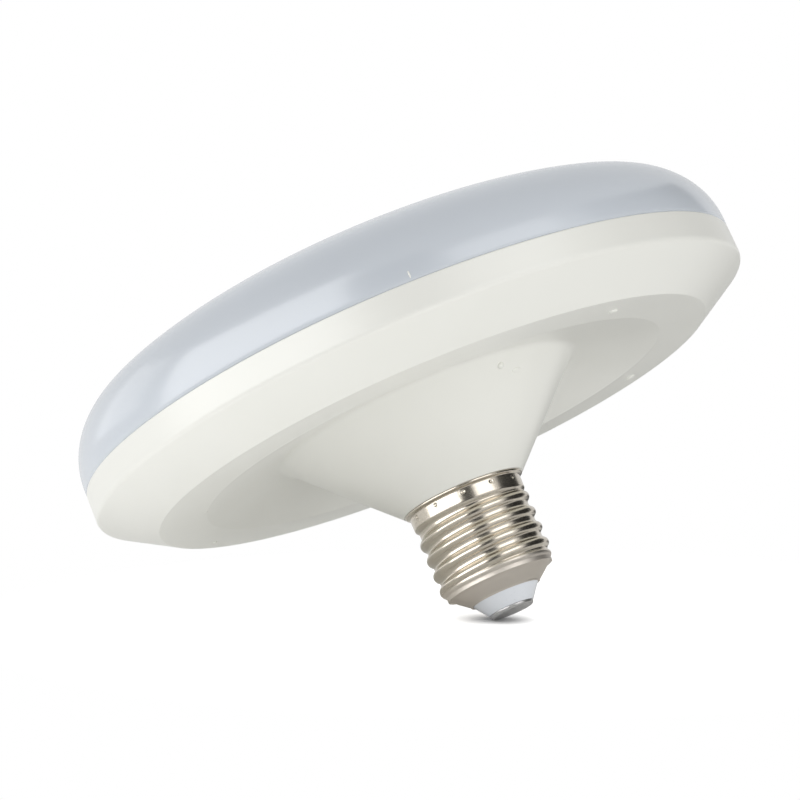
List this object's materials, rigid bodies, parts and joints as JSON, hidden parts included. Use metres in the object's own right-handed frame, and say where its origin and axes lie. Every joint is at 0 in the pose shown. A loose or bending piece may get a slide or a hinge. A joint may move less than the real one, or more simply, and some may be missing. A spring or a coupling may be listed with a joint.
{
  "type": "ufo led bulb",
  "caption": "Flat disc-shaped LED lamp: opal dome diffuser on a bevelled white housing with a recessed underside, a conical neck and a nickel E27 screw cap.",
  "frame": {"origin": "middle of the centre contact's outer face, on the lamp's axis", "axes": "+Z along the lamp's axis from the cap's contact to the diffuser; X across the driver board's width; Y through its thickness"},
  "size_m": [0.1514, 0.1514, 0.0809],
  "materials": {
    "opal_polycarbonate": "glossy",
    "white_plastic": "semi-gloss",
    "nickel_plate": "bright nickel",
    "insulator_ceramic": "glossy",
    "contact_metal": "satin",
    "aluminium_sheet": "satin",
    "board_white": "matt solder mask",
    "package_white": "matt",
    "phosphor": "satin",
    "screw_steel": "zinc plated",
    "board_green": "satin solder mask",
    "package_black": "matt",
    "ferrite": "matt ferrite",
    "winding_tape": "tape",
    "capacitor_sleeve": "glossy sleeve",
    "film_case": "glossy dipped",
    "resistor_coat": "matt coat",
    "lead_copper": "bare copper",
    "lead_red": "insulation",
    "lead_black": "insulation"
  },
  "bodies": {
    "root": {"diffuser": "opal_polycarbonate", "housing": "white_plastic", "threaded_shell": "nickel_plate", "cap_insulator": "insulator_ceramic", "centre_contact": "contact_metal", "heat_spreader": "aluminium_sheet", "led_board": "board_white", "led_packages": "package_white", "phosphor_windows": "phosphor", "board_screws": "screw_steel", "led_terminal": "package_white", "driver_board": "board_green", "bridge_rectifier": "package_black", "driver_chip": "package_black", "chip_resistors": "package_black", "transformer_core": "ferrite", "transformer_winding": "winding_tape", "electrolytic_capacitor": "capacitor_sleeve", "film_capacitor": "film_case", "fusible_resistor": "resistor_coat", "live_lead": "lead_copper", "neutral_lead": "lead_copper", "led_lead_positive": "lead_red", "led_lead_negative": "lead_black"}
  },
  "joints": []
}
